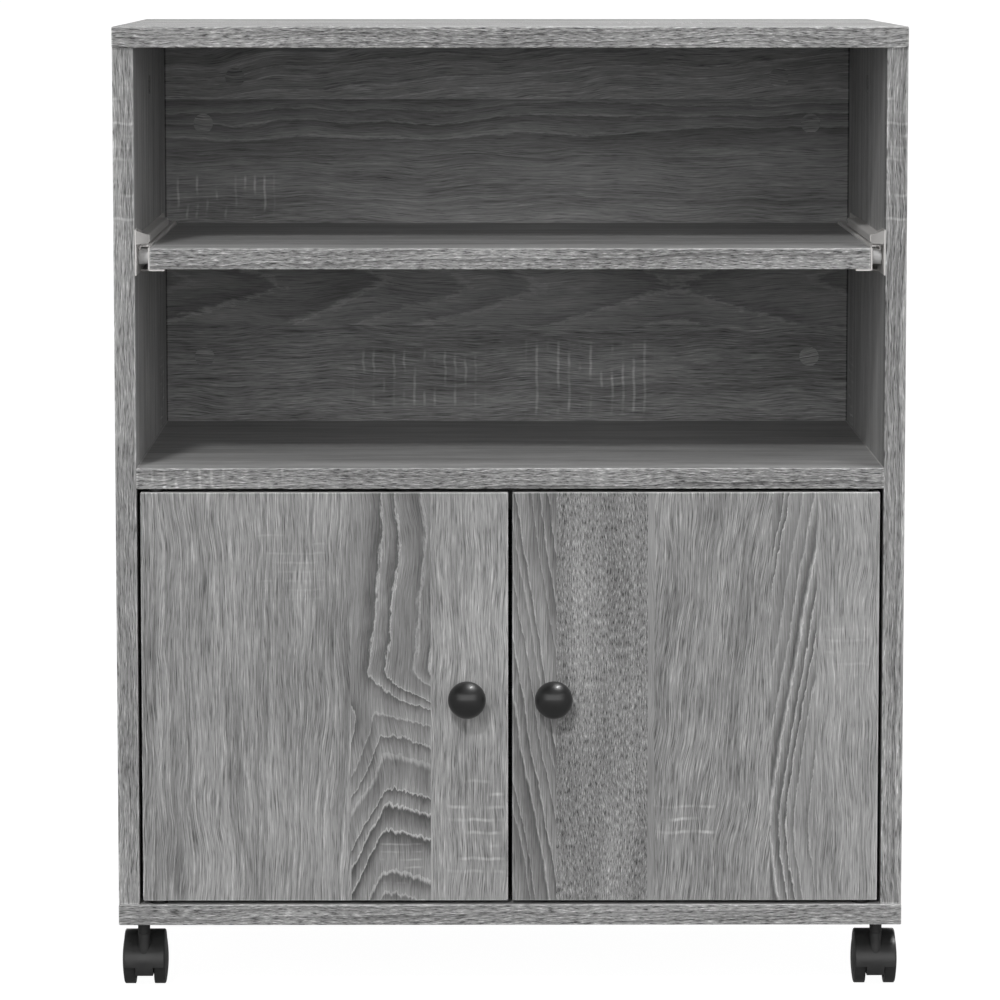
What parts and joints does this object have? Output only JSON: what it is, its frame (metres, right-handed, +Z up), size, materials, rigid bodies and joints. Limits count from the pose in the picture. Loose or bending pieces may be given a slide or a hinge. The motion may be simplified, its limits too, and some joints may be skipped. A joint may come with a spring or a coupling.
{
  "type": "printer cart",
  "caption": "Mobile printer cart: an open bay with a pull-out shelf on roller runners over a cupboard with hinged inset doors, on swivelling twin-wheel casters.",
  "frame": {"origin": "on the floor, under the middle of the cart's outer box with its knobs", "axes": "+X to the right seen from the front, +Y to the back, +Z up; the doors face -Y"},
  "size_m": [0.6004, 0.4226, 0.74],
  "materials": {
    "grey_oak": "matt melamine, grey oak print",
    "oak_foil": "matt printed foil",
    "beech": "plain turned",
    "zinc": "die cast, plated",
    "runner_enamel": "powder coated",
    "white_nylon": "moulded",
    "plated_steel": "zinc plated",
    "knob_black": "polished",
    "black_plastic": "moulded",
    "caster_hood": "moulded, satin",
    "caster_wheel": "moulded, satin"
  },
  "bodies": {
    "carcass": {"top_panel": "grey_oak", "bottom_panel": "grey_oak", "left_side_panel": "grey_oak", "right_side_panel": "grey_oak", "back_panel": "grey_oak", "fixed_shelf": "grey_oak", "cam_locks": "zinc", "cam_bolts": "zinc", "cam_caps": "oak_foil", "dowels": "beech", "pivot_bushes": "black_plastic", "magnetic_catch": "black_plastic", "catch_screws": "plated_steel", "left_cabinet_runner": "runner_enamel", "right_cabinet_runner": "runner_enamel", "front_roller_rivets": "plated_steel", "cabinet_runner_screws": "plated_steel", "caster_stems": "plated_steel", "caster_inserts": "zinc"},
    "sliding_shelf": {"sliding_shelf": "grey_oak", "left_shelf_runner": "runner_enamel", "right_shelf_runner": "runner_enamel", "rear_roller_rivets": "plated_steel", "shelf_runner_screws": "plated_steel"},
    "left_door": {"left_door": "grey_oak", "left_door_pins": "plated_steel", "left_knob": "knob_black", "left_knob_screw": "plated_steel", "left_strike_plate": "plated_steel", "left_strike_screw": "plated_steel"},
    "right_door": {"right_door": "grey_oak", "right_door_pins": "plated_steel", "right_knob": "knob_black", "right_knob_screw": "plated_steel", "right_strike_plate": "plated_steel", "right_strike_screw": "plated_steel"},
    "left_front_roller": {"left_front_roller": "white_nylon"},
    "left_rear_roller": {"left_rear_roller": "white_nylon"},
    "right_front_roller": {"right_front_roller": "white_nylon"},
    "right_rear_roller": {"right_rear_roller": "white_nylon"},
    "front_left_caster": {"front_left_caster_hood": "caster_hood", "front_left_caster_axle": "plated_steel"},
    "front_left_caster_left_wheel": {"front_left_caster_left_wheel": "caster_wheel"},
    "front_left_caster_right_wheel": {"front_left_caster_right_wheel": "caster_wheel"},
    "front_right_caster": {"front_right_caster_hood": "caster_hood", "front_right_caster_axle": "plated_steel"},
    "front_right_caster_left_wheel": {"front_right_caster_left_wheel": "caster_wheel"},
    "front_right_caster_right_wheel": {"front_right_caster_right_wheel": "caster_wheel"},
    "rear_left_caster": {"rear_left_caster_hood": "caster_hood", "rear_left_caster_axle": "plated_steel"},
    "rear_left_caster_left_wheel": {"rear_left_caster_left_wheel": "caster_wheel"},
    "rear_left_caster_right_wheel": {"rear_left_caster_right_wheel": "caster_wheel"},
    "rear_right_caster": {"rear_right_caster_hood": "caster_hood", "rear_right_caster_axle": "plated_steel"},
    "rear_right_caster_left_wheel": {"rear_right_caster_left_wheel": "caster_wheel"},
    "rear_right_caster_right_wheel": {"rear_right_caster_right_wheel": "caster_wheel"}
  },
  "joints": [
    {"name": "shelf_slide", "type": "slide", "parent": "carcass", "child": "sliding_shelf", "axis": [0, -1, 0], "range_m": [0, 0.25]},
    {"name": "left_door_hinge", "type": "hinge", "parent": "carcass", "child": "left_door", "pos_m": [-0.2693, -0.17925, 0.23], "axis": [0, 0, -1], "range_deg": [0, 105]},
    {"name": "right_door_hinge", "type": "hinge", "parent": "carcass", "child": "right_door", "pos_m": [0.2693, -0.17925, 0.23], "axis": [0, 0, 1], "range_deg": [0, 105]},
    {"name": "left_front_roller_spin", "type": "hinge", "parent": "carcass", "child": "left_front_roller", "pos_m": [-0.2776, -0.16225, 0.56635], "axis": [1, 0, 0], "continuous": true},
    {"name": "left_rear_roller_spin", "type": "hinge", "parent": "sliding_shelf", "child": "left_rear_roller", "pos_m": [-0.2776, 0.14975, 0.56345], "axis": [1, 0, 0], "continuous": true},
    {"name": "right_front_roller_spin", "type": "hinge", "parent": "carcass", "child": "right_front_roller", "pos_m": [0.2776, -0.16225, 0.56635], "axis": [1, 0, 0], "continuous": true},
    {"name": "right_rear_roller_spin", "type": "hinge", "parent": "sliding_shelf", "child": "right_rear_roller", "pos_m": [0.2776, 0.14975, 0.56345], "axis": [1, 0, 0], "continuous": true},
    {"name": "front_left_caster_swivel", "type": "hinge", "parent": "carcass", "child": "front_left_caster", "pos_m": [-0.2825, -0.16075, 0.0424], "axis": [0, 0, 1], "continuous": true},
    {"name": "front_left_caster_left_wheel_spin", "type": "hinge", "parent": "front_left_caster", "child": "front_left_caster_left_wheel", "pos_m": [-0.2825, -0.14375, 0.0195], "axis": [1, 0, 0], "continuous": true},
    {"name": "front_left_caster_right_wheel_spin", "type": "hinge", "parent": "front_left_caster", "child": "front_left_caster_right_wheel", "pos_m": [-0.2825, -0.14375, 0.0195], "axis": [1, 0, 0], "continuous": true},
    {"name": "front_right_caster_swivel", "type": "hinge", "parent": "carcass", "child": "front_right_caster", "pos_m": [0.2825, -0.16075, 0.0424], "axis": [0, 0, 1], "continuous": true},
    {"name": "front_right_caster_left_wheel_spin", "type": "hinge", "parent": "front_right_caster", "child": "front_right_caster_left_wheel", "pos_m": [0.2825, -0.14375, 0.0195], "axis": [1, 0, 0], "continuous": true},
    {"name": "front_right_caster_right_wheel_spin", "type": "hinge", "parent": "front_right_caster", "child": "front_right_caster_right_wheel", "pos_m": [0.2825, -0.14375, 0.0195], "axis": [1, 0, 0], "continuous": true},
    {"name": "rear_left_caster_swivel", "type": "hinge", "parent": "carcass", "child": "rear_left_caster", "pos_m": [-0.2825, 0.18325, 0.0424], "axis": [0, 0, 1], "continuous": true},
    {"name": "rear_left_caster_left_wheel_spin", "type": "hinge", "parent": "rear_left_caster", "child": "rear_left_caster_left_wheel", "pos_m": [-0.2825, 0.16625, 0.0195], "axis": [1, 0, 0], "continuous": true},
    {"name": "rear_left_caster_right_wheel_spin", "type": "hinge", "parent": "rear_left_caster", "child": "rear_left_caster_right_wheel", "pos_m": [-0.2825, 0.16625, 0.0195], "axis": [1, 0, 0], "continuous": true},
    {"name": "rear_right_caster_swivel", "type": "hinge", "parent": "carcass", "child": "rear_right_caster", "pos_m": [0.2825, 0.18325, 0.0424], "axis": [0, 0, 1], "continuous": true},
    {"name": "rear_right_caster_left_wheel_spin", "type": "hinge", "parent": "rear_right_caster", "child": "rear_right_caster_left_wheel", "pos_m": [0.2825, 0.16625, 0.0195], "axis": [1, 0, 0], "continuous": true},
    {"name": "rear_right_caster_right_wheel_spin", "type": "hinge", "parent": "rear_right_caster", "child": "rear_right_caster_right_wheel", "pos_m": [0.2825, 0.16625, 0.0195], "axis": [1, 0, 0], "continuous": true}
  ],
  "couplings": [
    {"joint": "left_front_roller_spin", "follows": "shelf_slide", "rad_per_m": 148.15},
    {"joint": "left_rear_roller_spin", "follows": "shelf_slide", "rad_per_m": 103.63},
    {"joint": "right_front_roller_spin", "follows": "shelf_slide", "rad_per_m": 148.15},
    {"joint": "right_rear_roller_spin", "follows": "shelf_slide", "rad_per_m": 103.63}
  ]
}
